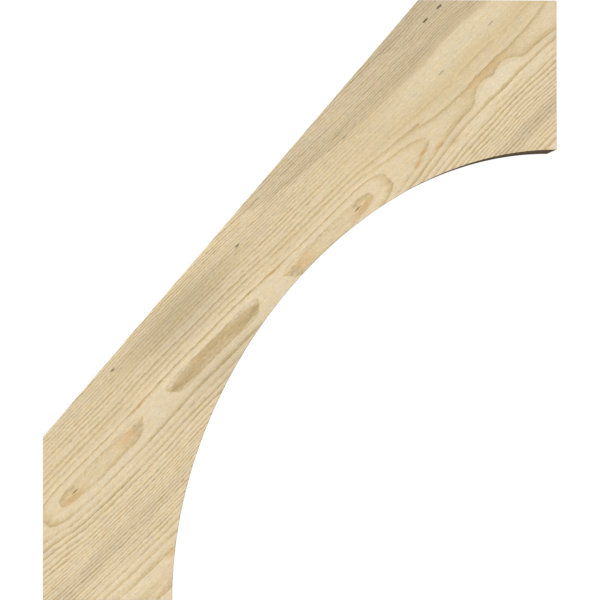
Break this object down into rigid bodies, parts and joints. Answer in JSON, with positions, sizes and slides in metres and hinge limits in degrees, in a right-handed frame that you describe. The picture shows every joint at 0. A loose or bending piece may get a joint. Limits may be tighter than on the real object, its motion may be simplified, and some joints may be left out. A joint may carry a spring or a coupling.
{
  "type": "timber knee brace",
  "caption": "Curved timber knee brace sawn from one plank, with a straight back, square-cut seats for a post and a beam, and an arched underside.",
  "frame": {"origin": "middle of the footprint of the brace as it lies on its broad back, on the surface that it lies on", "axes": "+X out from the post, +Y up towards the beam, +Z through the thickness, from the broad back to the broad front"},
  "size_m": [0.6096, 0.7112, 0.0889],
  "materials": {
    "planed_fir": "planed and sanded, bare"
  },
  "bodies": {
    "root": {"knee_brace": "planed_fir"}
  },
  "joints": []
}
